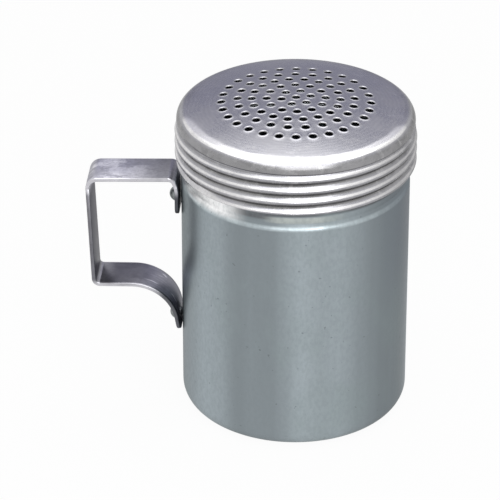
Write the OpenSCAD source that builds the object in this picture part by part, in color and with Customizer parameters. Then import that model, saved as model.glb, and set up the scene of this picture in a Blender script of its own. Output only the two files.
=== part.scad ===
// Handled spice shaker: an aluminium cup with a screw-on perforated dome lid
// and a bent strip handle held by two rivets.
// Millimetres, +Z up. The origin is the centre of the cup's flat base and the
// handle points along -X. The lid is screwed fully down.

/* [Cup] */
// Outer radius of the straight cup wall
cup_radius = 33.25; // [33:0.05:33.5]
// Thickness of the drawn sheet
cup_wall = 0.9; // [0.8:0.05:1]
// Outer radius of the rounded corner around the base
base_round = 5.3; // [4.5:0.1:6]
// Height where the straight wall turns in towards the neck
shoulder_height = 72.4; // [72:0.1:73]
// Outer radius of the hollow rolled under the lid
neck_hollow = 32.45; // [32.3:0.05:32.6]

/* [Thread] */
// Rise of the rolled thread in one turn
thread_pitch = 3.45; // [3.3:0.05:3.6]
// How far the rolled ridges stand out of the sheet
thread_depth = 1.05; // [1:0.05:1.1]
// Height of one lid ridge where it passes the front, opposite +Y
ridge_height = 85.95; // [85.75:0.05:86.15]
// Outer radius of the neck between its ridges
neck_root = 32.75; // [32.7:0.05:32.8]
// Flat steps around each threaded sheet
thread_steps = 54; // [48:6:60]
// Rows of points for each turn of thread
rows_per_turn = 8; // [8:1:9]

/* [Lid] */
// Outer radius of the lid between its ridges
lid_root = 33.95; // [33.9:0.05:34]
// Thickness of the lid's sheet
lid_wall = 0.75; // [0.7:0.05:0.8]
// Height of the lid's lower edge
lid_bottom = 78.9; // [78.7:0.1:79.1]
// Height of the dome's highest point, which is the height of the object
lid_top = 98.65; // [98.4:0.05:98.9]
// Outer radius of the dome's shoulder
lid_shoulder = 34.5; // [34.4:0.05:34.6]
// Outer radius of the rounded edge between the dome and its side
shoulder_round = 3; // [2.8:0.1:3.2]
// Outer radius of the shallow dome
dome_radius = 140; // [135:5:150]

/* [Holes] */
// Diameter of each pouring hole
hole_diameter = 2.1; // [1.8:0.1:2.3]
// Number of holes in each ring, from the middle outwards
ring_counts = [1, 6, 12, 18, 21, 28];
// Radius of each ring of holes
ring_radii = [0, 4.3, 8.45, 12.75, 16.85, 21.5];
// Turn of each ring's first hole from +X, in degrees
ring_turns = [0, 16.5, 5.2, 2.6, 8.3, 3.3];

/* [Handle] */
// Width of the handle strip
strip_width = 12.8; // [12.4:0.1:13.2]
// Thickness of the handle strip
strip_thick = 1.2; // [1.1:0.05:1.3]
// Height of the upper tab's rounded end
upper_tab_end = 61.4; // [61:0.1:62]
// Distance by which the riveted tab stands clear of the cup's wall
tab_gap = 0.35; // [0.2:0.05:0.4]
// Lean of the grip towards the cup at its foot, in degrees
grip_lean = 2.3; // [2:0.1:2.6]
// Length of the straight top arm
top_arm = 20.6; // [20.3:0.1:20.9]
// Length of the straight grip
grip_length = 30.1; // [29.8:0.1:30.4]
// Length of the straight lower arm
lower_arm = 9.3; // [9:0.1:9.5]
// Radius of the sweep that brings the lower arm to the cup
sweep_radius = 13.2; // [13:0.1:13.4]
// Radius of the rounded corners on both tab ends
tab_corner = 3; // [2.5:0.1:3.5]

/* [Rivets] */
// Diameter of the rivet shanks
shank_diameter = 2.4; // [2.2:0.1:2.6]
// Diameter of the round heads outside
head_diameter = 4.6; // [4.4:0.1:4.8]
// Height of the round heads
head_height = 2; // [1.8:0.1:2.1]
// Height of the upper rivet above the base
upper_rivet = 65.9; // [65.5:0.1:66.3]
// Diameter of the flattened tails inside the cup
tail_diameter = 4; // [3.8:0.1:4.2]
// Thickness of the flattened tails
tail_height = 0.8; // [0.7:0.1:0.9]

/* [Hidden] */
$fn = 96;

// --- rolled threads ---------------------------------------------------------

// The exact neck ends here and the threaded neck stands in it
neck_base = 79;
neck_top = 91.6;
// The rolled bead stands this far clear of the neck's edge
bead_gap = 0.07;
bead_radius = 0.75;
// Turns at which the ridges begin and end, counted along the helix from the
// ridge whose height is given. The lid's run out of its lower edge.
lid_from = -9;
lid_to = 1.34;
neck_from = -1.93;
neck_to = 0.8;
// Height over which the lid's highest ridge sinks into the shoulder
lid_sink = [shoulder_mid() - 1.5, shoulder_mid() - 0.75];

function ease(t) = let (u = min(1, max(0, t))) u * u * (3 - 2 * u);

// Turns of thread that lie between a point and the named ridge
function turns_at(a, z) = (z - ridge_height) / thread_pitch - (a + 90) / 360;

// How much of the full ridge is present at a point, from 0 to 1
function ridge(a, z, s0, s1, sink) =
    let (
        t = turns_at(a, z),
        s = round(t) + (a + 90) / 360,
        ends = ease((s - s0) / 0.12) * ease((s1 - s) / 0.16),
        low = 1 - ease((z - sink[0]) / (sink[1] - sink[0]))
    ) (0.5 + 0.5 * cos(360 * t)) * ends * low;

// A sheet wound with rolled ridges, closed at both ends by flat rings
module threaded_sheet(root, wall, z0, z1, s0, s1, sink) {
    n = thread_steps;
    m = ceil((z1 - z0) / thread_pitch * rows_per_turn);
    pts = [for (side = [0, 1], j = [0:m], i = [0:n - 1])
        let (
            a = 360 * i / n - 180,
            z = z0 + (z1 - z0) * j / m,
            r = root - side * wall + thread_depth * ridge(a, z, s0, s1, sink)
        ) [r * cos(a), r * sin(a), z]];
    inner = n * (m + 1);
    skin = [for (j = [0:m - 1], i = [0:n - 1])
        let (
            k = (i + 1) % n,
            a = j * n + i, b = j * n + k, c = (j + 1) * n + k, d = (j + 1) * n + i
        ) each [
            [a, d, c], [a, c, b],
            [inner + a, inner + b, inner + c], [inner + a, inner + c, inner + d]
        ]];
    ends = [for (i = [0:n - 1])
        let (k = (i + 1) % n, t = m * n) each [
            [i, k, inner + k, inner + i],
            [t + i, inner + t + i, inner + t + k, t + k]
        ]];
    polyhedron(points = pts, faces = concat(skin, ends), convexity = 8);
}

// --- profiles ---------------------------------------------------------------

// Points of an arc, both ends included
function arc(c, r, a0, a1, n) =
    [for (k = [0:n]) let (a = a0 + (a1 - a0) * k / n) c + r * [cos(a), sin(a)]];

// Height of the middle of the shoulder arc that touches the dome
function shoulder_mid() =
    lid_top - dome_radius
    + sqrt(pow(dome_radius - shoulder_round, 2) - pow(lid_shoulder - shoulder_round, 2));

// --- handle strip -----------------------------------------------------------

// Each step is [kind, length or turn in degrees, bend radius]. The strip is
// walked on its middle line from the upper tab's end, x being -distance.
strip_mid = strip_thick / 2;
bend_step = 4;
// Flat part of the upper tab above its rounded end
tab_straight = 68.3 - upper_tab_end - tab_corner;
// The top arm falls towards the grip and the lower arm climbs away from it, in
// degrees, and the lower tab runs down at a heading of its own
arm_fall = 2;
arm_climb = 1.3;
foot_heading = 279;
tab_x = -(cup_radius + tab_gap + strip_mid);
steps = [
    ["go", tab_straight + tab_corner, 0],
    ["turn", 15, 10],
    ["go", 1.1, 0],
    ["turn", 75 + arm_fall, 1.9],
    ["go", top_arm, 0],
    ["turn", 90 + grip_lean - arm_fall, 3],
    ["go", grip_length, 0],
    ["turn", 90 + arm_climb - grip_lean, 1.75],
    ["go", lower_arm, 0],
    ["turn", foot_heading - 360 - arm_climb, sweep_radius],
    ["go", 1.4 + tab_corner, 0]
];

// State after each step: [x, z, heading in degrees]. A positive turn is to
// the left as seen from the front, away from the cup and then back to it.
function walk(s, k) =
    k == len(steps) ? [s] :
    let (
        st = steps[k],
        h = s[2],
        d = sign(st[1]),
        e = st[0] == "go"
            ? [s[0] + st[1] * cos(h), s[1] + st[1] * sin(h), h]
            : let (c = [s[0], s[1]] + d * st[2] * [-sin(h), cos(h)], g = h + st[1])
              [c[0] + d * st[2] * sin(g), c[1] - d * st[2] * cos(g), g]
    ) concat([s], walk(e, k + 1));

states = walk([tab_x, upper_tab_end, 90], 0);
tail = states[len(steps)];
// Where the lower tab's rounding begins
foot = [tail[0] - tab_corner * cos(tail[2]), tail[1] - tab_corner * sin(tail[2]), tail[2]];
// The lower rivet stands square to the strip near its lower end
lower_at = 0.6;
lower_mid = [foot[0] - lower_at * cos(foot[2]), foot[1] - lower_at * sin(foot[2])];

// Points along the middle line, each with its heading, bends in even steps
function step_points(k) =
    let (
        st = steps[k], s = states[k],
        n = st[0] == "go" ? 1 : ceil(abs(st[1]) / bend_step),
        d = sign(st[1])
    ) [for (i = [1:n])
        st[0] == "go" ? states[k + 1] :
        let (
            c = [s[0], s[1]] + d * st[2] * [-sin(s[2]), cos(s[2])],
            g = s[2] + st[1] * i / n
        ) [c[0] + d * st[2] * sin(g), c[1] - d * st[2] * cos(g), g]];

middle = concat([states[0]], [for (k = [0:len(steps) - 1]) each step_points(k)]);

// One edge of the strip seen from the front, side being 1 or -1
function edge(side) = [for (s = middle)
    [s[0] - side * strip_mid * sin(s[2]), s[1] + side * strip_mid * cos(s[2])]];

module strip() rotate([90, 0, 0]) linear_extrude(height = strip_width, center = true)
    polygon(concat(edge(-1), [for (i = [len(middle) - 1:-1:0]) edge(1)[i]]));

// What is cut off a tab's end, the tab's last straight part running along +X
// and its rounding starting at the origin
module tab_corners() {
    w = strip_width / 2 - tab_corner;
    for (s = [-1, 1]) difference() {
        translate([0, s * (w + tab_corner / 2 + 1), 0])
            cube([2 * tab_corner + 2, tab_corner + 2, 4], center = true);
        translate([0, s * w, -3]) cylinder(h = 6, r = tab_corner);
        translate([-tab_corner - 2, 0, 0])
            cube([2 * tab_corner + 4, strip_width + 6, 6], center = true);
    }
}

module at(s) translate([s[0], 0, s[1]]) rotate([0, -s[2], 0]) children();

module shank_hole(x, z, a) translate([x, 0, z]) rotate([0, a, 0])
    cylinder(h = 8, d = shank_diameter, center = true);

// Direction of the lower rivet's outer end, measured from +Z towards +X
lower_tilt = 180 - foot[2];

// --- pieces -----------------------------------------------------------------

module cup() color("silver") difference() {
    union() {
        rotate_extrude() cup_profile();
        threaded_sheet(neck_root, cup_wall, neck_base - 0.25, neck_top,
            neck_from, neck_to, [200, 201]);
    }
    shank_hole(-cup_radius, upper_rivet, 90);
    shank_hole(lower_mid[0], lower_mid[1], lower_tilt);
}

// The flat middle of the same drawn sheet, which closes the cup
module cup_base() color("silver") cylinder(h = cup_wall, r = cup_radius - base_round);

// Half section of the drawn cup from the edge of its flat base to the plain
// part of its neck
module cup_profile() {
    r = cup_radius;
    w = cup_wall;
    b = base_round;
    h = shoulder_height;
    polygon(concat(
        arc([r - b, b], b, -90, 0, 10),
        arc([r - 1.6, h], 1.6, 0, 38, 5),
        [[neck_hollow + 0.2, h + 1.6]],
        arc([neck_hollow + 1.2, h + 2.5], 1.2, 200, 160, 4),
        [[neck_root + 0.06, neck_base], [neck_root - w - 0.1, neck_base]],
        [[neck_hollow - w, h + 2.9], [neck_hollow - w + 0.05, h + 2.1]],
        [[r - w - 0.2, h + 0.4], [r - w, h - 0.3]],
        arc([r - b, b], b - w, 0, -90, 10)
    ));
}

module cup_rim() color("silver") rotate_extrude()
    translate([neck_root - cup_wall / 2, neck_top + bead_gap + bead_radius])
        circle(r = bead_radius);

module lid() color("gainsboro") union() {
    difference() {
        rotate_extrude() dome_profile();
        for (k = [0:len(ring_counts) - 1], i = [0:ring_counts[k] - 1])
            rotate([0, 0, ring_turns[k] + 360 * i / ring_counts[k]])
                translate([ring_radii[k], 0, lid_top - 6])
                    cylinder(h = 8, d = hole_diameter, $fn = 32);
    }
    threaded_sheet(lid_root, lid_wall, lid_bottom, shoulder_mid() - 0.55,
        lid_from, lid_to, lid_sink);
}

// Half section of the dome and the rounded shoulder under it
module dome_profile() {
    m = shoulder_mid();
    x = lid_shoulder - shoulder_round;
    top = atan2(m - lid_top + dome_radius, x);
    w = lid_wall;
    polygon(concat(
        [[0, lid_top]],
        [for (k = [1:23]) let (a = 90 + (top - 90) * k / 24)
            [dome_radius * cos(a), lid_top - dome_radius + dome_radius * sin(a)]],
        arc([x, m], shoulder_round, top, 0, 12),
        arc([lid_shoulder - 0.8, m], 0.8, -15, -64, 4),
        [[lid_root + 0.07, m - 0.76], [lid_root - w - 0.07, m - 0.76]],
        [[lid_shoulder - w - 0.05, m - 0.1]],
        arc([x, m], shoulder_round - w, 0, top, 10),
        [for (k = [23:-1:1]) let (a = 90 + (top - 90) * k / 24)
            [(dome_radius - w) * cos(a), lid_top - dome_radius + (dome_radius - w) * sin(a)]],
        [[0, lid_top - w]]
    ));
}

module handle() color("silver") difference() {
    strip();
    at(states[1]) rotate([0, 180, 0]) translate([tab_straight, 0, 0]) tab_corners();
    at(foot) tab_corners();
    shank_hole(-cup_radius, upper_rivet, 90);
    shank_hole(lower_mid[0], lower_mid[1], lower_tilt);
    // The strip is pressed flat under the lower head
    at_lower() translate([0, 0, strip_mid]) cylinder(h = 2, d = head_diameter + 0.1);
}

// A rivet that stands along +Z with its head seated on the origin's plane.
// The tail is flattened against the inside of the wall.
module rivet_head() {
    r = (pow(head_diameter / 2, 2) + pow(head_height, 2)) / (2 * head_height);
    intersection() {
        translate([0, 0, head_height - r]) sphere(r = r);
        cylinder(h = head_height + 1, d = head_diameter + 1);
    }
}

module rivet_upper() color("lightgrey") union() {
    translate([tab_x - strip_mid, 0, upper_rivet]) rotate([0, -90, 0]) rivet_head();
    translate([-cup_radius + 1.5, 0, upper_rivet]) rotate([0, -90, 0])
        cylinder(h = strip_thick + tab_gap + 1.6, d = shank_diameter);
    intersection() {
        translate([-cup_radius + cup_wall + tail_height, 0, upper_rivet])
            rotate([0, -90, 0]) cylinder(h = 3, d = tail_diameter);
        cylinder(h = 100, r = cup_radius - cup_wall);
    }
}

module rivet_lower() color("lightgrey") union() {
    at_lower() translate([0, 0, strip_mid]) rivet_head();
    at_lower() translate([0, 0, -2.4]) cylinder(h = 2.4 + strip_mid + 0.2, d = shank_diameter);
    intersection() {
        at_lower() translate([0, 0, -2.55]) cylinder(h = 2, d = tail_diameter);
        cylinder(h = 60, r = cup_radius - cup_wall);
    }
}

module at_lower() translate([lower_mid[0], 0, lower_mid[1]]) rotate([0, lower_tilt, 0])
    children();

cup();
cup_base();
cup_rim();
lid();
handle();
rivet_upper();
rivet_lower();
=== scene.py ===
"""Handled spice shaker in satin aluminium: a drawn cup, a screw lid with a pierced dome
and a bent strip handle on two rivets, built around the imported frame."""

import math

import bmesh
import bpy
from bpy.props import FloatProperty, FloatVectorProperty, IntProperty, PointerProperty
from mathutils import Matrix, Vector


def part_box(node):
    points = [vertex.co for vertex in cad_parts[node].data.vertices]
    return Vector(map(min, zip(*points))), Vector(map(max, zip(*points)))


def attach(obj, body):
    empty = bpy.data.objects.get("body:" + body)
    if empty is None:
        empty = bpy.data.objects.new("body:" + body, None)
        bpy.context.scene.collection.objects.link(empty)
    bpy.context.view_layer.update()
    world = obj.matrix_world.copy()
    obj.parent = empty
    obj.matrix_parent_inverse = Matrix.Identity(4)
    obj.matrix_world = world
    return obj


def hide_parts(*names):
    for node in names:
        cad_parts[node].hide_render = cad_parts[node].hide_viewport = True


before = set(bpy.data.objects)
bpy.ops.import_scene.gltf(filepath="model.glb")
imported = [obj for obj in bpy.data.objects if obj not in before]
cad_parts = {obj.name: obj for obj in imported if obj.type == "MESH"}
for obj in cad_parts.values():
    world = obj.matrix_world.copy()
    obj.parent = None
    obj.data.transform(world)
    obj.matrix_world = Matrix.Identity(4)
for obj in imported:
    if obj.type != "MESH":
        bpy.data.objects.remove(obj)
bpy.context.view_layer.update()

bl_info = {
    "name": "Spice Shaker",
    "version": (1, 0, 0),
    "blender": (4, 5, 0),
    "location": "3D View > Sidebar > Shaker",
    "description": "Builds the cup, lid, handle and rivets of a handled spice shaker",
    "category": "Object",
}

MM = 0.001
LID_LOW, LID_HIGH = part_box("lid")
STRIP_HALF_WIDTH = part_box("handle")[1].y
RIM_LOW, RIM_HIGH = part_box("cup_rim")

# Points closer than this are one point
JOIN = 0.002 * MM
# Mesh attribute of painted light, read by the lid's finish: 0 is painted shade, 1 is painted
# highlight
WEAR_AND_SHEEN = "wear_and_sheen"
PLAIN_SHEEN = 0.82


# --- sizes and colours ------------------------------------------------------


def length(name, description, default, **limits):
    return FloatProperty(
        name=name, description=description, default=default,
        unit="LENGTH", precision=5, **limits,
    )


def colour(name, description, default):
    return FloatVectorProperty(
        name=name, description=description, default=default,
        subtype="COLOR", size=3, min=0.0, max=1.0,
    )


class SheetSizes(bpy.types.PropertyGroup):
    """Sizes of the drawn cup and of the spun lid."""

    around: IntProperty(
        name="Steps around", description="Flat steps around the cup and the lid",
        default=192, min=48, max=256,
    )
    cup_radius: length("Cup radius", "Outer radius of the straight wall", 33.25 * MM)
    cup_wall: length("Cup sheet", "Thickness of the cup's sheet", 0.9 * MM)
    base_round: length("Base round", "Outer radius of the corner around the base", 5.3 * MM)
    shoulder: length("Shoulder height", "Height where the wall turns in", 72.4 * MM)
    hollow: length("Neck hollow", "Outer radius of the hollow under the lid", 32.45 * MM)
    neck_root: length("Neck radius", "Outer radius between the neck's ridges", 32.75 * MM)
    lid_root: length("Lid radius", "Outer radius between the lid's ridges", 33.95 * MM)
    lid_wall: length("Lid sheet", "Thickness of the lid's threaded side", 0.75 * MM)
    dome_wall: length("Dome sheet", "Thickness of the pierced dome", 0.55 * MM)
    lid_shoulder: length("Lid shoulder", "Outer radius of the dome's shoulder", 34.5 * MM)
    shoulder_round: length("Shoulder round", "Radius between dome and side", 3.0 * MM)
    dome_radius: length("Dome radius", "Radius of the shallow dome", 140.0 * MM)
    pitch: length("Thread pitch", "Rise of the rolled thread in one turn", 3.45 * MM)
    depth: length("Thread depth", "How far the ridges stand out", 1.05 * MM)
    ridge_height: length("Ridge height", "Height of a lid ridge at the front", 85.95 * MM)


class HoleSizes(bpy.types.PropertyGroup):
    """Sizes of the pouring holes."""

    diameter: length("Hole diameter", "Diameter of each pouring hole", 2.2 * MM)
    lip: length("Rolled edge", "Radius that the punch rolled into the edge", 0.34 * MM)
    burr: length("Burr", "Height to which the punch raised the edge", 0.1 * MM)


class HandleSizes(bpy.types.PropertyGroup):
    """Sizes of the bent strip and its rivets."""

    thick: length("Strip thickness", "Thickness of the strip", 1.2 * MM)
    gap: length("Tab gap", "Distance from the upper tab to the cup's wall", 0.35 * MM)
    corner: length("Tab corner", "Radius of the tabs' corners", 3.0 * MM)
    edge: length("Edge round", "Radius of the strip's worn edges", 0.32 * MM)
    head: length("Head diameter", "Diameter of the rivets' heads", 4.6 * MM)
    head_height: length("Head height", "Height of the rivets' heads", 2.0 * MM)
    upper_rivet: length("Upper rivet", "Height of the upper rivet", 65.9 * MM)


class Looks(bpy.types.PropertyGroup):
    """Colours of the metal."""

    cup: colour("Cup", "Colour of the cup's satin sheet", (0.292, 0.332, 0.354))
    lid: colour("Lid", "Colour of the lid's satin sheet", (0.42, 0.415, 0.425))
    handle: colour("Handle", "Colour of the handle's dull strip", (0.19, 0.188, 0.212))
    rivet: colour("Rivets", "Colour of the rivets", (0.26, 0.28, 0.28))


# --- curves and thread ------------------------------------------------------


# Turns of thread at which the ridges begin and end, counted along the helix from the
# ridge whose height is given. The lid's run out of its lower edge.
NECK_TURNS = (-1.93, 0.8)
LID_TURNS = (-9, 1.34)
# Turns over which a ridge rises where it begins and sinks where it ends
RIDGE_BEGINS, RIDGE_ENDS = 0.12, 0.16


def ease(t):
    u = min(1.0, max(0.0, t))
    return u * u * (3 - 2 * u)


def arc(x, z, radius, start, end, count):
    """Points of an arc in the XZ plane, angles in degrees, both ends included."""
    angles = [math.radians(start + (end - start) * k / count) for k in range(count + 1)]
    return [(x + radius * math.cos(a), z + radius * math.sin(a)) for a in angles]


def rows(low, high, count):
    return [low + (high - low) * k / count for k in range(count + 1)]


def helix(sizes, angle, z):
    """How many turns of thread lie above the nearest ridge's middle, and where that ridge
    is, in turns along the helix from the ridge whose height at the front is given."""
    turn = angle / math.tau + 0.25
    t = (z - sizes.ridge_height) / sizes.pitch - turn
    return t, round(t) + turn


def ridge(sizes, angle, z, turns, sink):
    """How much of the full ridge is present at a point, from 0 to 1, and how much painted
    highlight or shade its sheet takes there. It sinks into the sheet between the two heights of
    sink."""
    first, last = turns
    t, along = helix(sizes, angle, z)
    ends = ease((along - first) / RIDGE_BEGINS) * ease((last - along) / RIDGE_ENDS)
    present = ends * (1 - ease((z - sink[0]) / (sink[1] - sink[0])))
    raised = (0.5 + 0.5 * math.cos(math.tau * t)) * present
    # The painted highlight peaks on the upper flank and the painted shade lies on the lower
    # flank
    sheen = 0.5 + 0.5 * math.sin(math.tau * t + 0.5)
    return raised, PLAIN_SHEEN + (sheen - PLAIN_SHEEN) * present


def wind_thread(bm, sizes, bottom, turns, sink):
    """Presses the rolled ridges outwards into the round side above bottom. Their upper
    flanks take a painted highlight and their lower flanks a painted shade."""
    wear_and_sheen = bm.verts.layers.float[WEAR_AND_SHEEN]
    for vert in bm.verts:
        x, y, z = vert.co
        radius = math.hypot(x, y)
        if z < bottom or radius < sizes.hollow - 2 * MM:
            continue
        raised, sheen = ridge(sizes, math.atan2(y, x), z, turns, sink)
        grown = (radius + sizes.depth * raised) / radius
        vert.co.x *= grown
        vert.co.y *= grown
        vert[wear_and_sheen] = sheen


# --- mesh helpers -----------------------------------------------------------


def new_sheet():
    """An empty mesh that keeps its painted highlight and shade."""
    bm = bmesh.new()
    bm.verts.layers.float.new(WEAR_AND_SHEEN)
    return bm


def spin_outline(bm, outline, steps):
    """Spins an outline of (radius, height) points once around the Z axis."""
    wear_and_sheen = bm.verts.layers.float[WEAR_AND_SHEEN]
    verts = [bm.verts.new((x, 0, z)) for x, z in outline]
    for vert in verts:
        vert[wear_and_sheen] = PLAIN_SHEEN
    edges = [bm.edges.new(pair) for pair in zip(verts, verts[1:])]
    bmesh.ops.spin(
        bm, geom=verts + edges, cent=(0, 0, 0), axis=(0, 0, 1),
        angle=math.tau, steps=steps, use_merge=True,
    )


def finish_mesh(bm, name, material):
    """Closes the seams, turns faces outwards and makes the object at the origin."""
    bmesh.ops.remove_doubles(bm, verts=bm.verts, dist=JOIN)
    bmesh.ops.dissolve_degenerate(bm, dist=JOIN, edges=bm.edges)
    bmesh.ops.recalc_face_normals(bm, faces=bm.faces)
    for face in bm.faces:
        face.smooth = True
    mesh = bpy.data.meshes.new(name)
    bm.to_mesh(mesh)
    bm.free()
    mesh.materials.append(material)
    piece = bpy.data.objects.new(name, mesh)
    bpy.context.scene.collection.objects.link(piece)
    return piece


# --- finishes ---------------------------------------------------------------


class Finish:
    """A node material for one kind of metal, read from Object coordinates."""

    def __init__(self, name):
        self.material = bpy.data.materials.new(name)
        self.material.use_nodes = True
        self.tree = self.material.node_tree
        self.shader = self.tree.nodes["Principled BSDF"]
        self.place = self.add("TexCoord").outputs["Object"]

    def add(self, kind, **settings):
        node = self.tree.nodes.new("ShaderNode" + kind)
        for key, value in settings.items():
            setattr(node, key, value)
        return node

    def link(self, value, socket):
        if isinstance(value, bpy.types.NodeSocket):
            self.tree.links.new(value, socket)
        else:
            socket.default_value = value

    def math(self, operation, a, b=0.0):
        node = self.add("Math", operation=operation)
        self.link(a, node.inputs[0])
        self.link(b, node.inputs[1])
        return node.outputs[0]

    def attribute(self, name):
        return self.add("Attribute", attribute_name=name).outputs["Fac"]

    def times(self, first, *others):
        """The product of all the values."""
        for value in others:
            first = self.math("MULTIPLY", first, value)
        return first

    def axis(self, name):
        node = self.add("SeparateXYZ")
        self.link(self.place, node.inputs[0])
        return node.outputs[name]

    def noise(self, scale, stretch=(1, 1, 1), detail=2.0, rough=0.5, shift=(0, 0, 0)):
        """Noise with scale cells per metre, stretched along the axes."""
        place = self.add("Mapping")
        self.link(self.place, place.inputs["Vector"])
        place.inputs["Location"].default_value = shift
        place.inputs["Scale"].default_value = stretch
        node = self.add("TexNoise")
        self.link(place.outputs[0], node.inputs["Vector"])
        node.inputs["Scale"].default_value = scale
        node.inputs["Detail"].default_value = detail
        node.inputs["Roughness"].default_value = rough
        return node.outputs["Fac"]

    def fit(self, value, low, high, to_low=0.0, to_high=1.0, smooth=True):
        """Value from low..high taken to to_low..to_high and held there."""
        node = self.add("MapRange", interpolation_type="SMOOTHSTEP" if smooth else "LINEAR")
        self.link(value, node.inputs["Value"])
        node.inputs["From Min"].default_value = low
        node.inputs["From Max"].default_value = high
        node.inputs["To Min"].default_value = to_low
        node.inputs["To Max"].default_value = to_high
        return node.outputs["Result"]

    def stripe(self, name, low, high, soft):
        """1 between two places on an axis, fading to 0 outside them, in millimetres."""
        along = self.axis(name)
        rise = self.fit(along, (low - soft) * MM, low * MM)
        return self.times(rise, self.fit(along, (high + soft) * MM, high * MM))

    def blend(self, share, a, b, how="MIX"):
        """Colour a going to colour b by share."""
        node = self.add("Mix", data_type="RGBA", blend_type=how)
        self.link(share, node.inputs["Factor"])
        self.link(a, node.inputs[6])
        self.link(b, node.inputs[7])
        return node.outputs[2]

    def spread(self, base, pattern, low, high, strength, colour):
        """Colour base going to colour where a pattern rises from low to high."""
        return self.blend(self.fit(pattern, low, high, 0.0, strength), base, colour)

    def tinted(self, value, factor, lean=(1, 1, 1)):
        """A colour made lighter or darker and leaned towards another hue."""
        factors = tuple(factor * k for k in lean) + (1,)
        return self.blend(1.0, value, factors, "MULTIPLY")

    def bump(self, height, depth, under=None):
        """Bump whose full height is depth in metres, over an earlier bump."""
        node = self.add("Bump")
        self.link(height, node.inputs["Height"])
        node.inputs["Strength"].default_value = 1.0
        node.inputs["Distance"].default_value = depth
        if under is not None:
            self.link(under, node.inputs["Normal"])
        return node.outputs["Normal"]

    def done(self, base, roughness, normal, edge_tint=0.7):
        self.shader.inputs["Metallic"].default_value = 1.0
        self.shader.inputs["Specular Tint"].default_value = (edge_tint, edge_tint, edge_tint, 1)
        self.link(base, self.shader.inputs["Base Color"])
        self.link(roughness, self.shader.inputs["Roughness"])
        self.link(normal, self.shader.inputs["Normal"])
        return self.material


def tint(rgb, factor, lean=(1, 1, 1)):
    """A fixed colour made lighter or darker and leaned towards another hue."""
    return tuple(min(1.0, c * factor * k) for c, k in zip(rgb, lean)) + (1.0,)


# A place in millimetres beyond the object, for stripes that go on to its side
FAR = 99
# Bands of painted reflection around the cup's wall, and the turn in radians that puts them in
# place
REFLECTION_BANDS = 5.0
REFLECTION_TURN = -1.55


def painted_wall_reflections(f):
    """Soft upright bands of painted reflection around the wall, from about -1 to 1."""
    angle = f.math("ARCTAN2", f.axis("X"), f.times(f.axis("Y"), -1.0))
    band = f.math("COSINE", f.math("ADD", f.times(angle, REFLECTION_BANDS), REFLECTION_TURN))
    wander = f.fit(f.noise(60, (1, 1, 0.05), 2.0), 0.3, 0.7, -0.35, 0.35)
    return f.math("ADD", band, wander)


def neck_marks_and_painted_light(f, base, rgb):
    """A painted highlight along the shoulder's bend, a painted shadow under the lid's edge
    with painted shade below the lowest ridge near the handle, a painted highlight streak at
    the front, the bright metal that the lid covers and a painted highlight on the neck on
    the handle's side."""
    patch = f.fit(f.noise(200, (1, 1, 0.5), 3.0, 0.6, (6, 2, 3)), 0.35, 0.65, 0.55, 1.0)
    # Painted highlight along the shoulder's bend, broken into patches
    edge = f.times(f.stripe("Z", 72.9, 73.5, 0.6), patch, 0.8)
    base = f.blend(edge, base, tint(rgb, 1.8, (1.0, 1.0, 0.98)))
    handle_side = f.fit(f.axis("X"), -11 * MM, -21 * MM)
    # Painted shadow under the lid's edge, and painted shade under the lowest ridge on the
    # handle's side of the front
    painted_lid_shadow = f.times(f.stripe("Z", 77.4, 79.2, 0.8), f.math("SUBTRACT", 1.0, handle_side))
    painted_ridge_shade = f.times(f.stripe("Z", 76.2, 79.2, 1.0), f.stripe("X", -14, -7, 6))
    dark = f.times(f.math("MAXIMUM", painted_lid_shadow, painted_ridge_shade), 0.85)
    base = f.blend(dark, base, tint(rgb, 0.32, (1.12, 1.0, 1.0)))
    # Painted highlight streak on the neck at the front
    streak = f.times(f.stripe("Z", 75.2, 76.4, 0.7), f.stripe("X", -2, 10, 7), 0.8)
    base = f.blend(streak, base, tint(rgb, 1.7, (1.1, 1.03, 0.92)))
    covered = f.fit(f.axis("Z"), 79.2 * MM, 80.2 * MM)
    base = f.blend(covered, base, tint(rgb, 1.9, (1.08, 1.0, 0.96)))
    # Painted highlight on the neck on the handle's side
    painted_neck_highlight = f.times(handle_side, f.stripe("Z", 74.6, 78.6, 2.0))
    return f.blend(painted_neck_highlight, base, tint(rgb, 3.6, (1.14, 1.0, 0.94)))


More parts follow.
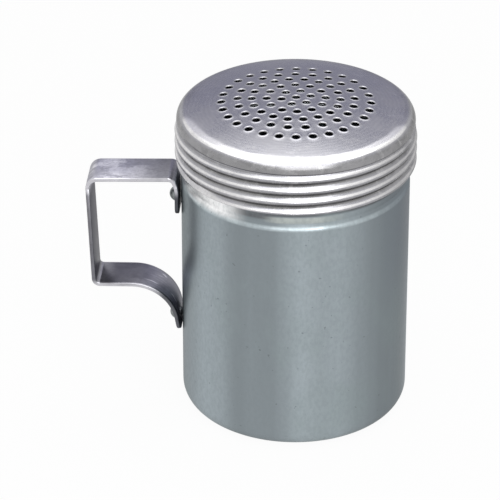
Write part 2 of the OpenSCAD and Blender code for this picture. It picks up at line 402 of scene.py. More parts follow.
def cup_finish(rgb):
    """Satin drawn sheet: soft bands of painted reflection up the wall, painted light and
    shade on the neck, mottled grain and a few fine specks. The side away from the handle
    is a little darker with painted shade, deeper high up under the lid."""
    f = Finish("cup_satin")
    streak = f.noise(110, (1, 1, 0.03), 3.0, 0.55)
    cloud = f.noise(60, (1, 1, 0.6), 3.0, 0.6, (3, 1, 2))
    grain = f.noise(1000, (1, 1, 0.6), 3.0, 0.65)
    speck = f.noise(800, detail=1.0, shift=(7, 2, 5))
    brushed = f.noise(2600, (1, 1, 0.04), 2.0)
    base = f.blend(f.fit(streak, 0.34, 0.68), tint(rgb, 0.95), tint(rgb, 1.06))
    # Soft bands of painted reflection up the wall
    base = f.blend(f.fit(painted_wall_reflections(f), -1.1, 1.1), f.tinted(base, 0.82), f.tinted(base, 1.2))
    # Painted light and shade on the neck, with the bright metal under the lid
    base = neck_marks_and_painted_light(f, base, rgb)
    base = f.spread(base, cloud, 0.42, 0.68, 0.5, tint(rgb, 0.98, (0.98, 1.02, 0.98)))
    # Painted shade on the side away from the handle, deeper high up under the lid
    base = f.blend(f.fit(f.axis("X"), 13 * MM, 31 * MM), base, f.tinted(base, 0.78))
    shaded = f.times(f.stripe("X", 34, FAR, 12), f.stripe("Z", 70, FAR, 45), 0.8)
    base = f.blend(shaded, base, tint(rgb, 0.55, (0.98, 0.98, 1.06)))
    base = f.spread(base, grain, 0.35, 0.7, 0.25, tint(rgb, 0.78))
    base = f.spread(base, speck, 0.74, 0.79, 0.5, tint(rgb, 0.4))
    rough = f.fit(streak, 0.3, 0.7, 0.34, 0.42)
    rough = f.math("ADD", rough, f.fit(grain, 0.3, 0.7, -0.03, 0.04))
    normal = f.bump(brushed, 0.006 * MM, f.bump(grain, 0.012 * MM))
    return f.done(base, rough, normal, 0.62)


def spun_rings(f):
    """Faint rings left by spinning, around the Z axis."""
    rings = f.add("TexWave", wave_type="RINGS", rings_direction="Z", wave_profile="SIN")
    f.link(f.place, rings.inputs["Vector"])
    rings.inputs["Scale"].default_value = 260
    rings.inputs["Distortion"].default_value = 6
    rings.inputs["Detail"].default_value = 3
    return rings.outputs["Fac"]


def lid_finish(rgb):
    """Satin spun sheet: faint rings on the dome, fine grain, a painted highlight on the upper
    flanks of the ridges and the edges of the holes, painted shade on the lower flanks and the
    far side."""
    f = Finish("lid_satin")
    grain = f.noise(1100, detail=3.0, rough=0.7)
    cloud = f.noise(70, detail=3.0, rough=0.6, shift=(1, 4, 2))
    smear = f.noise(260, (1, 1.4, 1), 4.0, 0.7, (4, 2, 6))
    rings = spun_rings(f)
    # Painted highlight and shade read from the sheet's attribute: dark on the lower flanks,
    # bright on the upper flanks, the hole walls and the shoulder's front
    sheen = f.math("ADD", f.attribute(WEAR_AND_SHEEN), f.fit(cloud, 0.3, 0.7, -0.04, 0.04))
    dark, plain = tint(rgb, 0.45, (1.0, 1.0, 0.96)), tint(rgb, 0.86, (1.0, 1.01, 1.07))
    base = f.blend(f.fit(sheen, 0.3, 0.8, smooth=False), dark, plain)
    base = f.blend(f.fit(sheen, 0.87, 1.0), base, tint(rgb, 2.1, (1.0, 1.0, 0.98)))
    # Painted shade on the far side, below the dome's top
    painted_side_shade = f.times(f.stripe("X", 32, FAR, 12), f.stripe("Z", 0, 93, 2))
    base = f.blend(painted_side_shade, base, f.tinted(base, 0.55))
    base = f.spread(base, smear, 0.54, 0.66, 0.3, tint(rgb, 1.4, (1.0, 1.0, 0.98)))
    base = f.spread(base, cloud, 0.35, 0.68, 0.4, tint(rgb, 0.9))
    base = f.spread(base, grain, 0.38, 0.7, 0.25, tint(rgb, 0.66))
    base = f.spread(base, rings, 0.2, 0.9, 0.12, tint(rgb, 1.4))
    rough = f.fit(cloud, 0.3, 0.7, 0.24, 0.31)
    rough = f.math("ADD", rough, f.fit(grain, 0.3, 0.7, -0.02, 0.04))
    normal = f.bump(rings, 0.003 * MM, f.bump(grain, 0.008 * MM))
    return f.done(base, rough, normal, 0.8)


def handle_finish(rgb, half_width):
    """Dull strip, darker along the grip, with painted shadow at the edges of its tabs. Its top
    arm is painted lighter as if lit from above, lightest away from the lid's shade, and has
    bright wear patches; painted highlights lie on the lower bend and along both arms' edges."""
    f = Finish("handle_strip_metal")
    grain = f.noise(1000, detail=3.0, rough=0.7)
    cloud = f.noise(150, detail=4.0, rough=0.65, shift=(2, 2, 1))
    drawn = f.noise(900, (0.06, 1, 0.06), 2.0)
    along, height = f.axis("X"), f.axis("Z")
    side = f.math("ABSOLUTE", f.axis("Y"))

    # where on the strip
    upper = f.fit(height, 66 * MM, 71 * MM)
    lower = f.fit(height, 40 * MM, 37 * MM)
    held = f.math("SUBTRACT", f.math("SUBTRACT", 1.0, upper), lower)
    outer = f.fit(along, -38 * MM, -54 * MM)
    corner = f.fit(along, -53 * MM, -57 * MM)
    edge = f.fit(side, half_width - 0.75 * MM, half_width - 0.2 * MM)
    painted_light_near_cup = f.times(lower, f.fit(along, -48 * MM, -40 * MM))
    tab = f.times(f.fit(along, -42 * MM, -38 * MM), f.fit(height, 70 * MM, 67 * MM))
    painted_tab_shadow = f.times(tab, f.fit(side, half_width - 1.2 * MM, half_width - 0.4 * MM), 0.9)

    # wear and painted highlights
    # Painted highlights along the strip's edges, faint on the grip
    highlit = f.times(edge, f.fit(cloud, 0.3, 0.6, 0.55, 1.0), f.fit(held, 0.0, 1.0, 1.0, 0.12))
    # Wear patches on the top arm's outer end, and a painted highlight on the lower bend's
    # corner
    wear_and_sheen = f.fit(f.noise(120, (1, 1.6, 1), 4.0, 0.7, (5, 1, 3)), 0.43, 0.56)
    wear_and_sheen = f.math("MAXIMUM", f.times(wear_and_sheen, outer, upper), f.times(corner, lower))
    scuff = f.fit(f.noise(700, (0.12, 1, 0.3), 2.0, 0.5, (1, 6, 4)), 0.64, 0.72)
    scuff = f.times(scuff, f.fit(held, 0.0, 1.0, 1.0, 0.2))

    # colour
    # The top arm is painted lighter as if lit from above, lightest at its outer end away from
    # the lid's shade
    arm = f.blend(outer, tint(rgb, 1.4), tint(rgb, 2.9, (1, 1, 0.98)))
    arm = f.spread(arm, cloud, 0.35, 0.68, 0.5, tint(rgb, 1.7))
    grip = f.blend(f.fit(cloud, 0.35, 0.68), tint(rgb, 0.6), tint(rgb, 0.85))
    base = f.blend(f.fit(cloud, 0.35, 0.68), tint(rgb, 0.85), tint(rgb, 1.1))
    base = f.blend(upper, base, arm)
    base = f.spread(base, drawn, 0.45, 0.7, 0.2, tint(rgb, 1.9))
    base = f.blend(f.times(wear_and_sheen, 0.9), base, tint(rgb, 4.4, (1, 1, 0.93)))
    base = f.blend(f.times(scuff, 0.6), base, tint(rgb, 3.4, (1, 1, 0.92)))
    base = f.blend(held, base, grip)
    base = f.spread(base, grain, 0.38, 0.7, 0.3, tint(rgb, 0.6))
    # Painted light lifting the lower arm near the cup
    base = f.blend(painted_light_near_cup, base, f.tinted(base, 1.6, (1, 1, 1.0625)))
    base = f.blend(highlit, base, tint(rgb, 3.0, (1.0, 1.0, 0.94)))
    # Painted shadow along the tabs' edges where they stand off the cup
    base = f.blend(painted_tab_shadow, base, tint(rgb, 0.42, (0.95, 1.0, 1.0)))

    rough = f.fit(cloud, 0.3, 0.7, 0.32, 0.44)
    rough = f.math("SUBTRACT", rough, f.times(highlit, 0.1))
    normal = f.bump(drawn, 0.01 * MM, f.bump(grain, 0.012 * MM))
    normal = f.bump(scuff, 0.02 * MM, normal)
    return f.done(base, rough, normal)


def rivet_finish(rgb):
    """Pressed rivet metal with fine pits and a cloudy tone."""
    f = Finish("rivet_metal")
    grain = f.noise(1500, detail=3.0, rough=0.7)
    cloud = f.noise(600, detail=2.0, shift=(2, 5, 1))
    base = f.blend(f.fit(cloud, 0.35, 0.68), tint(rgb, 0.85), tint(rgb, 1.2))
    base = f.spread(base, grain, 0.4, 0.7, 0.4, tint(rgb, 0.6))
    rough = f.fit(grain, 0.3, 0.7, 0.32, 0.46)
    return f.done(base, rough, f.bump(grain, 0.015 * MM))


# --- cup --------------------------------------------------------------------


# Radii of the base's rings of points in millimetres, from the middle outwards
BASE_RINGS = (0, 4, 10, 16, 22)
# Radius of the bend at the cup's shoulder, and of the round of the hollow above it
SHOULDER_BEND = 1.6 * MM
HOLLOW_ROUND = 1.2 * MM
# Height where the neck's side begins, and the rows of points up that side
NECK_BASE = 79.0 * MM
NECK_ROWS = 52
# Height from which the neck's ridges may stand out, and the heights between which they
# would sink, far above the cup
NECK_RIDGES_FROM = 78.7 * MM
NEVER_SINKS = (1.0, 2.0)


def cup_outline(s):
    """Section of the cup's sheet from the middle of the base outside, up to the mouth
    and back down inside."""
    r, w, b, h = s.cup_radius, s.cup_wall, s.base_round, s.shoulder
    bend, dip, below = SHOULDER_BEND, HOLLOW_ROUND, NECK_BASE - 0.25 * MM
    wall_rows = rows(b, h, 24)
    neck_rows = rows(NECK_BASE, RIM_LOW.z + 0.15 * MM, NECK_ROWS)
    outside = [(x * MM, 0) for x in BASE_RINGS]
    outside += arc(r - b, b, b, -90, 0, 16)
    outside += [(r, z) for z in wall_rows[1:-1]]
    outside += arc(r - bend, h, bend, 0, 38, 8)
    outside += [(s.hollow + 0.2 * MM, h + 1.6 * MM)]
    outside += arc(s.hollow + dip, h + 2.5 * MM, dip, 200, 160, 8)
    outside += [(s.hollow + 0.16 * MM, h + 3.7 * MM), (s.neck_root, below)]
    outside += [(s.neck_root, z) for z in neck_rows]
    inside = [(s.neck_root - w, z) for z in reversed(neck_rows)]
    inside += [(s.neck_root - w, below), (s.hollow + 0.1 * MM - w, h + 3.9 * MM)]
    inside += arc(s.hollow - w + dip, h + 2.4 * MM, dip, 165, 205, 6)
    inside += [(r - w - 0.25 * MM, h + 0.45 * MM), (r - w - 0.06 * MM, h - 0.1 * MM)]
    inside += [(r - w, z) for z in reversed(wall_rows[:-1])]
    inside += arc(r - b, b, b - w, 0, -90, 14)[1:]
    inside += [(x * MM, w) for x in reversed(BASE_RINGS)]
    return outside + inside


class SHAKER_OT_cup(bpy.types.Operator):
    """Spins the drawn cup and rolls the thread into its neck"""

    bl_idname = "shaker.cup"
    bl_label = "Cup"

    def execute(self, context):
        scene = context.scene
        s = scene.shaker_sheet
        bm = new_sheet()
        spin_outline(bm, cup_outline(s), s.around)
        wind_thread(bm, s, NECK_RIDGES_FROM, NECK_TURNS, NEVER_SINKS)
        piece = finish_mesh(bm, "cup_shell", cup_finish(scene.shaker_looks.cup))
        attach(piece, "cup_body")
        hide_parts("cup", "cup_base")
        return {"FINISHED"}


# Groove where the sheet's end is tucked in: its depth, and its place around the bead
# in degrees
TUCK_DEPTH = 0.16 * MM
TUCK_ANGLE = -54


class SHAKER_OT_mouth(bpy.types.Operator):
    """Spins the bead rolled around the cup's mouth, with the tucked end of its sheet"""

    bl_idname = "shaker.mouth"
    bl_label = "Mouth bead"

    def execute(self, context):
        scene = context.scene
        bead = (RIM_HIGH.z - RIM_LOW.z) / 2
        x, z = RIM_HIGH.x - bead, RIM_LOW.z + bead
        groove, dip = math.radians(TUCK_ANGLE), bead - TUCK_DEPTH
        outline = arc(x, z, bead, -44, 296, 40)
        outline.append((x + dip * math.cos(groove), z + dip * math.sin(groove)))
        outline.append(outline[0])
        bm = new_sheet()
        spin_outline(bm, outline, scene.shaker_sheet.around)
        piece = finish_mesh(bm, "mouth_bead", bpy.data.materials["cup_satin"])
        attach(piece, "rim_body")
        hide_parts("cup_rim")
        return {"FINISHED"}


# --- lid --------------------------------------------------------------------


HOLE_RINGS = (
    # holes, radius in millimetres, turn of the first hole from +X in degrees
    (1, 0.0, 0.0),
    (6, 4.3, 16.5),
    (12, 8.45, 5.2),
    (18, 12.75, 2.6),
    (21, 16.85, 8.3),
    (28, 21.5, 3.3),
)
# Radii of the dome's rings of points from the pierced plate outwards, in millimetres
DOME_RINGS = (25, 26.5, 28, 29.3, 30.4)
PLATE_RADIUS = DOME_RINGS[0] * MM
# Flat steps around each hole, and the longest edge of the plate's triangles
HOLE_STEPS = 16
PLATE_EDGE = 1.3 * MM
# Rows of points up the lid's side
LID_ROWS = 60
# Painted highlight on the walls of the holes and on the end of the lowest ridge
HOLE_WALL_SHEEN = 0.94
RIM_HIGHLIGHT = 0.95
# Turns along the lowest ridge below which it takes that painted highlight, and how softly it
# begins
HIGHLIGHT_BELOW, HIGHLIGHT_SOFT = -2.03, 0.1
# How far under the middle of the dome's shoulder that painted highlight stays
HIGHLIGHT_TOP = 5 * MM


def hole_places():
    for count, radius, first in HOLE_RINGS:
        for k in range(count):
            angle = math.radians(first + 360 * k / count)
            yield Vector((radius * MM * math.cos(angle), radius * MM * math.sin(angle), 0))


def dome_height(s, holes, radius):
    """Height of the dome's sheet at a radius, low enough for the middle hole's burr."""
    top = LID_HIGH.z - holes.burr
    return top - s.dome_radius + math.sqrt(s.dome_radius**2 - radius**2)


def shoulder_middle(s, holes):
    """Height of the middle of the round that joins the dome to its side."""
    reach = s.dome_radius - s.shoulder_round
    side = s.lid_shoulder - s.shoulder_round
    return dome_height(s, holes, 0) - s.dome_radius + math.sqrt(reach**2 - side**2)


def punched_edge(s, holes):
    """Section of one hole's edge from the sheet's top to its underside, as distances
    from the hole's middle and heights above the sheet's top."""
    r, lip, burr, w = holes.diameter / 2, holes.lip, holes.burr, s.dome_wall
    section = [(r + 0.8 * MM, 0), (r + 0.66 * MM, 0.2 * burr), (r + 0.5 * MM, 0.62 * burr)]
    section += [(x, z + burr) for x, z in arc(r + lip, -lip, lip, 80, 180, 6)]
    section += [(r, -w), (r + 0.2 * MM, -w + 0.06 * MM)]
    section += [(r + 0.45 * MM, -w + 0.04 * MM), (r + 0.8 * MM, -w)]
    return section


def pierced_plate(bm, s, holes):
    """Lays a flat plate of two faces joined through every hole's edge."""
    section = punched_edge(s, holes)
    bm.faces.layers.int.new("plate")
    top_loops = []
    for place in hole_places():
        outer = bmesh.ops.create_circle(
            bm, cap_ends=False, segments=HOLE_STEPS, radius=section[0][0],
            matrix=Matrix.Translation(place),
        )["verts"]
        loop = list({edge for vert in outer for edge in vert.link_edges})
        top_loops += loop
        for (r0, z0), (r1, z1) in zip(section, section[1:]):
            made = bmesh.ops.extrude_edge_only(bm, edges=loop)["geom"]
            verts = [g for g in made if isinstance(g, bmesh.types.BMVert)]
            loop = [g for g in made if isinstance(g, bmesh.types.BMEdge)]
            bmesh.ops.scale(
                bm, verts=verts, vec=(r1 / r0, r1 / r0, 1), space=Matrix.Translation(-place),
            )
            bmesh.ops.translate(bm, verts=verts, vec=(0, 0, z1 - z0))
    rim = bmesh.ops.create_circle(bm, cap_ends=False, segments=s.around, radius=PLATE_RADIUS)
    border = list({edge for vert in rim["verts"] for edge in vert.link_edges})
    filled = bmesh.ops.triangle_fill(bm, use_beauty=True, edges=top_loops + border)["geom"]
    faces = [g for g in filled if isinstance(g, bmesh.types.BMFace)]
    faces = refine(bm, faces, set(top_loops + border), PLATE_EDGE)
    copy = bmesh.ops.duplicate(bm, geom=faces)["geom"]
    under = [g for g in copy if isinstance(g, bmesh.types.BMVert)]
    bmesh.ops.translate(bm, verts=under, vec=(0, 0, -s.dome_wall))


def refine(bm, faces, kept, longest):
    """Halves the long inner edges of a filled plate until its triangles are small."""
    marks = bm.faces.layers.int["plate"]
    for _ in range(3):
        edges = {e for f in faces for e in f.edges if e not in kept}
        long_edges = [e for e in edges if e.calc_length() > longest]
        if not long_edges:
            break
        for face in faces:
            face[marks] = 1
        bmesh.ops.subdivide_edges(bm, edges=long_edges, cuts=1)
        plate = [f for f in bm.faces if f[marks] == 1]
        bmesh.ops.triangulate(bm, faces=plate)
        faces = [f for f in bm.faces if f[marks] == 1]
        inner = list({e for f in faces for e in f.edges if e not in kept})
        bmesh.ops.beautify_fill(bm, faces=faces, edges=inner)
        faces = [f for f in bm.faces if f[marks] == 1]
    return faces


def lid_outline(s, holes):
    """Section of the lid's sheet from the pierced plate over the shoulder, down the
    threaded side, around its lower edge and back up inside."""
    m = shoulder_middle(s, holes)
    x = s.lid_shoulder - s.shoulder_round
    w, side = s.dome_wall, s.lid_wall
    slope = math.degrees(math.atan2(m - dome_height(s, holes, 0) + s.dome_radius, x))
    low, sheet = LID_LOW.z, s.lid_root - side
    dome = [(r * MM, dome_height(s, holes, r * MM)) for r in DOME_RINGS]
    neck = [(s.lid_root + 0.06 * MM, m - 0.78 * MM), (s.lid_root, m - 0.95 * MM)]
    climb = rows(low + 0.2 * MM, m - 1.0 * MM, LID_ROWS)
    outside = dome + arc(x, m, s.shoulder_round, slope, 0, 16)
    outside += arc(s.lid_shoulder - 0.8 * MM, m, 0.8 * MM, -15, -64, 5) + neck
    outside += [(s.lid_root, z) for z in reversed(climb)]
    edge = [(s.lid_root - 0.05 * MM, low + 0.06 * MM), (s.lid_root - 0.2 * MM, low)]
    edge += [(sheet + 0.2 * MM, low), (sheet + 0.05 * MM, low + 0.06 * MM)]
    inside = [(sheet, z) for z in climb]
    inside += [(sheet + 0.02 * MM, m - 0.85 * MM), (s.lid_shoulder - side, m - 0.1 * MM)]
    inside += arc(x, m, s.shoulder_round - side, 5, slope, 10)
    inside += [(r, z - w) for r, z in reversed(dome)]
    return outside + edge + inside


def lay_on_dome(bm, s, holes):
    """Curves the flat plate to the dome, with a painted highlight on the walls of its holes."""
    wear_and_sheen = bm.verts.layers.float[WEAR_AND_SHEEN]
    for vert in bm.verts:
        inside = -s.dome_wall < vert.co.z < -0.3 * holes.lip
        vert[wear_and_sheen] = HOLE_WALL_SHEEN if inside else PLAIN_SHEEN
        vert.co.z += dome_height(s, holes, math.hypot(vert.co.x, vert.co.y))


def paint_lid_sheen(bm, s, middle):
    """Paints a highlight on the end of the lowest ridge, and on the dome's shoulder at the
    front. The shoulder takes painted shade on its other sides and where it turns down."""
    wear_and_sheen = bm.verts.layers.float[WEAR_AND_SHEEN]
    for vert in bm.verts:
        x, y, z = vert.co
        # Painted highlight on the end of the lowest ridge
        if z < middle - HIGHLIGHT_TOP:
            along = helix(s, math.atan2(y, x), z)[1]
            highlit = ease((HIGHLIGHT_BELOW - along) / HIGHLIGHT_SOFT)
            vert[wear_and_sheen] += (RIM_HIGHLIGHT - vert[wear_and_sheen]) * highlit
        # Painted highlight on the front of the dome's shoulder, painted shade on its other
        # sides and where it turns down
        elif z > middle - 0.5 * MM:
            radius = math.hypot(x, y)
            front = ease((0.2 - y / max(radius, JOIN)) / 0.8)
            shoulder = ease((radius - 29.5 * MM) / (2.5 * MM))
            turned = ease((radius - 33 * MM) / (1.2 * MM))
            vert[wear_and_sheen] += (0.5 * front - 0.2) * shoulder - (0.25 + 0.4 * front) * turned


class SHAKER_OT_lid(bpy.types.Operator):
    """Spins the threaded lid and sets the pierced dome into it"""

    bl_idname = "shaker.lid"
    bl_label = "Lid"

    def execute(self, context):
        scene = context.scene
        s, holes = scene.shaker_sheet, scene.shaker_holes
        middle = shoulder_middle(s, holes)
        bm = new_sheet()
        pierced_plate(bm, s, holes)
        lay_on_dome(bm, s, holes)
        spin_outline(bm, lid_outline(s, holes), s.around)
        wind_thread(bm, s, 0, LID_TURNS, (middle - 1.5 * MM, middle - 0.75 * MM))
        paint_lid_sheen(bm, s, middle)
        piece = finish_mesh(bm, "lid_shell", lid_finish(scene.shaker_looks.lid))
        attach(piece, "lid_body")
        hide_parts("lid")
        return {"FINISHED"}


# --- handle -----------------------------------------------------------------


# The strip's walk from the upper tab's end, on its middle line: how far it goes
# straight in millimetres, then how far it turns in degrees and around which radius
BENDS = (
    (6.9, 15, 10),
    (1.1, 77, 1.9),
    (20.6, 90.3, 3),
    (30.1, 89, 1.75),
    (9.3, -82.3, 13.2),
    (4.4, 0, 1),
)
UPPER_TAB_END = 61.4 * MM
# Where the lower rivet stands, measured back from the strip's lower end
LOWER_RIVET = 3.6 * MM
# Degrees of bend for each flat step
BEND_STEP = 3
# Edges whose faces meet at more than these many degrees are tab corners or sharp edges
TAB_CORNER_ANGLE = 60
SHARP_ANGLE = 50


def strip_start(context):
    """Distance along X of the middle of the upper tab's sheet."""
    sizes = context.scene.shaker_handle
    return -(context.scene.shaker_sheet.cup_radius + sizes.gap + sizes.thick / 2)


def strip_walk(start_x):
    """Where each straight stretch of the strip begins and ends: (x, z, heading)."""
    x, z, heading = start_x, UPPER_TAB_END, math.radians(90)
    for go, turn, radius in BENDS:
        start = (x, z, heading)
        x += go * MM * math.cos(heading)
        z += go * MM * math.sin(heading)
        yield start, (x, z, heading)
        side = math.copysign(radius * MM, turn)
        x -= side * math.sin(heading)
        z += side * math.cos(heading)
        heading += math.radians(turn)
        x += side * math.sin(heading)
        z -= side * math.cos(heading)


def bend_strip(bm, sizes, start_x, half_width):
    """Draws the strip out of its first cross-section, bend after bend."""
    corners = [
        bm.verts.new((start_x + dx * sizes.thick / 2, dy * half_width, UPPER_TAB_END))
        for dx, dy in ((-1, -1), (1, -1), (1, 1), (-1, 1))
    ]
    end = [bm.faces.new(corners)]
    for (go, turn, radius), (start, (x, z, heading)) in zip(BENDS, strip_walk(start_x)):
        made = bmesh.ops.extrude_face_region(bm, geom=end)["geom"]
        verts = [g for g in made if isinstance(g, bmesh.types.BMVert)]
        bmesh.ops.translate(bm, verts=verts, vec=(x - start[0], 0, z - start[1]))
        end = [g for g in made if isinstance(g, bmesh.types.BMFace)]
        if not turn:
            continue
        side = math.copysign(radius * MM, turn)
        centre = (x - side * math.sin(heading), 0, z + side * math.cos(heading))
        ring = end + list(end[0].edges) + list(end[0].verts)
        made = bmesh.ops.spin(
            bm, geom=ring, cent=centre, axis=(0, -1, 0), angle=math.radians(turn),
            steps=math.ceil(abs(turn) / BEND_STEP), use_duplicate=False,
        )["geom_last"]
        end = [g for g in made if isinstance(g, bmesh.types.BMFace)]


class SHAKER_OT_handle(bpy.types.Operator):
    """Bends the handle's strip, rounds its tabs and dulls its edges"""

    bl_idname = "shaker.handle"
    bl_label = "Handle"

    def execute(self, context):
        scene = context.scene
        sizes = scene.shaker_handle
        bm = bmesh.new()
        bend_strip(bm, sizes, strip_start(context), STRIP_HALF_WIDTH)
        bmesh.ops.remove_doubles(bm, verts=bm.verts, dist=JOIN)
        bmesh.ops.recalc_face_normals(bm, faces=bm.faces)
        ends = [
            e for e in bm.edges
            if abs(e.calc_length() - sizes.thick) < JOIN * 5 and len(e.link_faces) == 2
            and e.calc_face_angle(0) > math.radians(TAB_CORNER_ANGLE)
        ]
        bmesh.ops.bevel(
            bm, geom=ends, offset=sizes.corner, segments=10, profile=0.5,
            affect="EDGES", material=-1, clamp_overlap=True,
        )
        sharp = [e for e in bm.edges if e.calc_face_angle(0) > math.radians(SHARP_ANGLE)]
        bmesh.ops.bevel(
            bm, geom=sharp, offset=sizes.edge, segments=3, profile=0.5,
            affect="EDGES", material=-1, clamp_overlap=True,
        )
        material = handle_finish(scene.shaker_looks.handle, STRIP_HALF_WIDTH)
        piece = finish_mesh(bm, "handle_strip", material)
        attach(piece, "cup_body")
        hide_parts("handle")
        return {"FINISHED"}


# --- rivets -----------------------------------------------------------------


# Flat steps around each rivet
RIVET_STEPS = 48
# Radius of the rivets' shanks and flattened tails, and the tails' thickness
SHANK_RADIUS = 1.2 * MM
TAIL_RADIUS = 2.0 * MM
TAIL_HEIGHT = 0.8 * MM
# How far the upper shank goes into the wall's inside, and the lower one in from its head
UPPER_SINK = 0.06 * MM
LOWER_REACH = 2.35 * MM


def make_rivet(name, material, sizes, seat, outwards, reach):
    """Spins one rivet whose head sits at seat and whose shank goes in by reach."""
    r, h, shank = sizes.head / 2, sizes.head_height, SHANK_RADIUS
    ball = (r * r + h * h) / (2 * h)
    spread = math.degrees(math.asin(min(1.0, r / ball)))
    crown = arc(0, h - ball, ball, 90, 90 - spread, 12)
    crown[0] = (0, h)
    outline = [(x, z) for x, z in crown if z > 0.12 * MM]
    outline += [(r - 0.02 * MM, 0.1 * MM), (r - 0.03 * MM, 0), (shank, 0)]
    tail, flat = TAIL_RADIUS, TAIL_HEIGHT
    outline += [(shank, -reach), (tail - 0.15 * MM, -reach), (tail, -reach - 0.2 * MM)]
    outline += [(tail - 0.1 * MM, -reach - flat + 0.12 * MM), (tail - 0.35 * MM, -reach - flat)]
    outline += [(0, -reach - flat)]
    bm = new_sheet()
    spin_outline(bm, outline, RIVET_STEPS)
    turn = Vector((0, 0, 1)).rotation_difference(outwards).to_matrix().to_4x4()
    bmesh.ops.transform(bm, matrix=Matrix.Translation(seat) @ turn, verts=bm.verts)
    return finish_mesh(bm, name, material)


class SHAKER_OT_rivets(bpy.types.Operator):
    """Presses the two rivets that hold the handle to the cup"""

    bl_idname = "shaker.rivets"
    bl_label = "Rivets"

    def execute(self, context):
        scene = context.scene
        sizes = scene.shaker_handle
        material = rivet_finish(scene.shaker_looks.rivet)
        wall = scene.shaker_sheet.cup_radius - scene.shaker_sheet.cup_wall
        start_x = strip_start(context)
        seat = Vector((start_x - sizes.thick / 2, 0, sizes.upper_rivet))
        upper = make_rivet(
            "upper_rivet", material, sizes, seat, Vector((-1, 0, 0)),
            -wall - seat.x + UPPER_SINK,
        )
        x, z, heading = list(strip_walk(start_x))[-1][1]
        along = Vector((math.cos(heading), 0, math.sin(heading)))
        outwards = Vector((math.sin(heading), 0, -math.cos(heading)))
        middle = Vector((x, 0, z)) - along * LOWER_RIVET
        lower = make_rivet(
            "lower_rivet", material, sizes, middle + outwards * sizes.thick / 2,
            outwards, LOWER_REACH,
        )
        for piece, node in ((upper, "rivet_upper"), (lower, "rivet_lower")):
            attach(piece, "cup_body")
            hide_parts(node)
        return {"FINISHED"}


# --- stage ------------------------------------------------------------------


CAMERA_PLACE = (0.0486, -0.87302, 0.54062)
CAMERA_AIM = (-0.013187, -0.001151, 0.048277)
FOCAL_LENGTH = 245.66
# Strength at which the world lights the object, and the colour of its dim window
WORLD_LIGHT = 0.08
DIM_WINDOW = (0.52, 0.52, 0.64, 1)
FLOOR_COLOUR = (0.9, 0.9, 0.9, 1)
# Share of the floor's look that is its own white where it is looked at
FLOOR_GLOW = 0.95
# How far the floor goes each way, and how far it lies under the base
FLOOR_REACH = 3
FLOOR_DROP = 0.05 * MM
LAMPS = (
    # name, place, aim, width, height, watts
    ("top_lamp", (0, -0.12, 1.15), (0, -0.12, 0), 1.3, 1.85, 14),
    ("front_lamp", (0.35, -1.2, 0.9), (0, 0, 0.05), 1.1, 0.9, 7),
)


def add_camera(scene):
    data = bpy.data.cameras.new("camera")
    data.sensor_width = 36
    data.lens = FOCAL_LENGTH
    data.clip_start, data.clip_end = 0.01, 20
    camera = bpy.data.objects.new("camera", data)
    camera.location = CAMERA_PLACE
    aim = Vector(CAMERA_AIM) - Vector(CAMERA_PLACE)
    camera.rotation_euler = aim.to_track_quat("-Z", "Y").to_euler()
    scene.collection.objects.link(camera)
    scene.camera = camera


def add_lamp(scene, name, place, aim, width, height, power):
    data = bpy.data.lights.new(name, "AREA")
    data.shape = "RECTANGLE"
    data.size, data.size_y = width, height
    data.energy = power
    lamp = bpy.data.objects.new(name, data)
    lamp.location = place
    lamp.rotation_euler = (Vector(aim) - Vector(place)).to_track_quat("-Z", "Y").to_euler()
    lamp.visible_camera = False
    scene.collection.objects.link(lamp)


def seen_directly(tree):
    """1 for camera, glossy and transmission rays, and 0 for the rest."""
    path = tree.nodes.new("ShaderNodeLightPath")
    total = path.outputs["Is Camera Ray"]
    for kind in ("Is Glossy Ray", "Is Transmission Ray"):
        node = tree.nodes.new("ShaderNodeMath")
        node.operation = "MAXIMUM"
        tree.links.new(total, node.inputs[0])
        tree.links.new(path.outputs[kind], node.inputs[1])
        total = node.outputs[0]
    return total


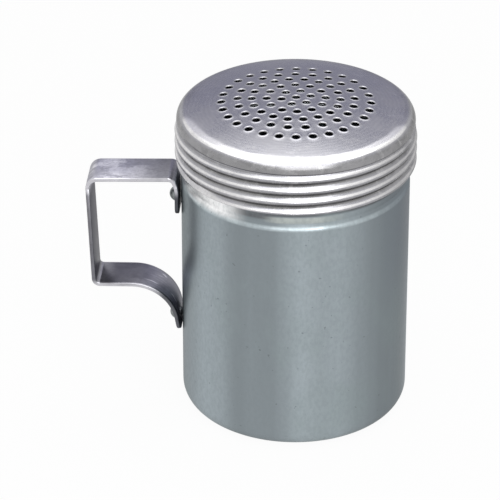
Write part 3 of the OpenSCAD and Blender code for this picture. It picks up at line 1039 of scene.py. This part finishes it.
def pale_world(scene, lit_level, dim_colour):
    """A white room with one dim soft window behind the object, where it is looked at.
    It lights the rest at lit_level."""
    world = bpy.data.worlds.new("studio")
    world.use_nodes = True
    tree = world.node_tree
    lit = tree.nodes["Background"]
    lit.inputs["Color"].default_value = (1, 1, 1, 1)
    lit.inputs["Strength"].default_value = lit_level
    parts = tree.nodes.new("ShaderNodeSeparateXYZ")
    place = tree.nodes.new("ShaderNodeTexCoord")
    tree.links.new(place.outputs["Generated"], parts.inputs[0])

    def joined(operation, first, second):
        node = tree.nodes.new("ShaderNodeMath")
        node.operation = operation
        for value, socket in ((first, node.inputs[0]), (second, node.inputs[1])):
            if isinstance(value, bpy.types.NodeSocket):
                tree.links.new(value, socket)
            else:
                socket.default_value = value
        return node.outputs[0]

    def fade(value, low, high):
        node = tree.nodes.new("ShaderNodeMapRange")
        node.interpolation_type = "SMOOTHSTEP"
        tree.links.new(value, node.inputs["Value"])
        node.inputs["From Min"].default_value = low
        node.inputs["From Max"].default_value = high
        return node.outputs["Result"]

    # the window fades into the white at its sides, above it and towards the camera
    aside = joined("ABSOLUTE", joined("ADD", parts.outputs["X"], 0.05), 0.0)
    nearer = joined("MULTIPLY", parts.outputs["Y"], -1.0)
    white = joined("MAXIMUM", fade(aside, 0.24, 0.42), fade(parts.outputs["Z"], 0.5, 0.9))
    white = joined("MAXIMUM", white, fade(nearer, -0.3, -0.1))
    colour = tree.nodes.new("ShaderNodeMix")
    colour.data_type = "RGBA"
    tree.links.new(white, colour.inputs["Factor"])
    colour.inputs[6].default_value = dim_colour
    colour.inputs[7].default_value = (1, 1, 1, 1)
    seen = tree.nodes.new("ShaderNodeBackground")
    tree.links.new(colour.outputs[2], seen.inputs["Color"])
    seen.inputs["Strength"].default_value = 1.0
    mix = tree.nodes.new("ShaderNodeMixShader")
    tree.links.new(seen_directly(tree), mix.inputs[0])
    tree.links.new(lit.outputs[0], mix.inputs[1])
    tree.links.new(seen.outputs[0], mix.inputs[2])
    tree.links.new(mix.outputs[0], tree.nodes["World Output"].inputs["Surface"])
    scene.world = world


def pale_floor(scene):
    """A white floor that glows a little where it is looked at, and still takes shadow."""
    bm = bmesh.new()
    bmesh.ops.create_grid(bm, x_segments=4, y_segments=4, size=FLOOR_REACH)
    bmesh.ops.translate(bm, verts=bm.verts, vec=(0, 0, -FLOOR_DROP))
    mesh = bpy.data.meshes.new("floor")
    bm.to_mesh(mesh)
    bm.free()
    material = bpy.data.materials.new("pale_floor")
    material.use_nodes = True
    tree = material.node_tree
    tree.nodes.remove(tree.nodes["Principled BSDF"])
    matt = tree.nodes.new("ShaderNodeBsdfDiffuse")
    matt.inputs["Color"].default_value = FLOOR_COLOUR
    glow = tree.nodes.new("ShaderNodeEmission")
    glow.inputs["Strength"].default_value = 1.0
    share = tree.nodes.new("ShaderNodeMath")
    share.operation = "MULTIPLY"
    tree.links.new(seen_directly(tree), share.inputs[0])
    share.inputs[1].default_value = FLOOR_GLOW
    mix = tree.nodes.new("ShaderNodeMixShader")
    tree.links.new(share.outputs[0], mix.inputs[0])
    tree.links.new(matt.outputs[0], mix.inputs[1])
    tree.links.new(glow.outputs[0], mix.inputs[2])
    tree.links.new(mix.outputs[0], tree.nodes["Material Output"].inputs["Surface"])
    mesh.materials.append(material)
    floor = bpy.data.objects.new("floor", mesh)
    scene.collection.objects.link(floor)


class SHAKER_OT_stage(bpy.types.Operator):
    """Sets the camera, the lamps and the pale floor"""

    bl_idname = "shaker.stage"
    bl_label = "Stage"

    def execute(self, context):
        scene = context.scene
        scene.view_settings.view_transform = "Standard"
        add_camera(scene)
        pale_world(scene, WORLD_LIGHT, DIM_WINDOW)
        pale_floor(scene)
        for lamp in LAMPS:
            add_lamp(scene, *lamp)
        return {"FINISHED"}


# --- add-on -----------------------------------------------------------------


class SHAKER_PT_panel(bpy.types.Panel):
    """Lists the shaker's pieces"""

    bl_idname = "SHAKER_PT_panel"
    bl_label = "Spice Shaker"
    bl_space_type = "VIEW_3D"
    bl_region_type = "UI"
    bl_category = "Shaker"

    def draw(self, context):
        for operator in OPERATORS:
            self.layout.operator(operator.bl_idname)


GROUPS = {
    "shaker_sheet": SheetSizes,
    "shaker_holes": HoleSizes,
    "shaker_handle": HandleSizes,
    "shaker_looks": Looks,
}
OPERATORS = (
    SHAKER_OT_stage,
    SHAKER_OT_cup,
    SHAKER_OT_mouth,
    SHAKER_OT_lid,
    SHAKER_OT_handle,
    SHAKER_OT_rivets,
)


def register():
    for group in GROUPS.values():
        bpy.utils.register_class(group)
    for name, group in GROUPS.items():
        setattr(bpy.types.Scene, name, PointerProperty(type=group))
    for operator in OPERATORS:
        bpy.utils.register_class(operator)
    bpy.utils.register_class(SHAKER_PT_panel)


def unregister():
    bpy.utils.unregister_class(SHAKER_PT_panel)
    for operator in reversed(OPERATORS):
        bpy.utils.unregister_class(operator)
    for name in GROUPS:
        delattr(bpy.types.Scene, name)
    for group in reversed(list(GROUPS.values())):
        bpy.utils.unregister_class(group)


def main():
    register()
    bpy.ops.shaker.stage()
    bpy.ops.shaker.cup()
    bpy.ops.shaker.mouth()
    bpy.ops.shaker.lid()
    bpy.ops.shaker.handle()
    bpy.ops.shaker.rivets()


if __name__ == "__main__":
    main()
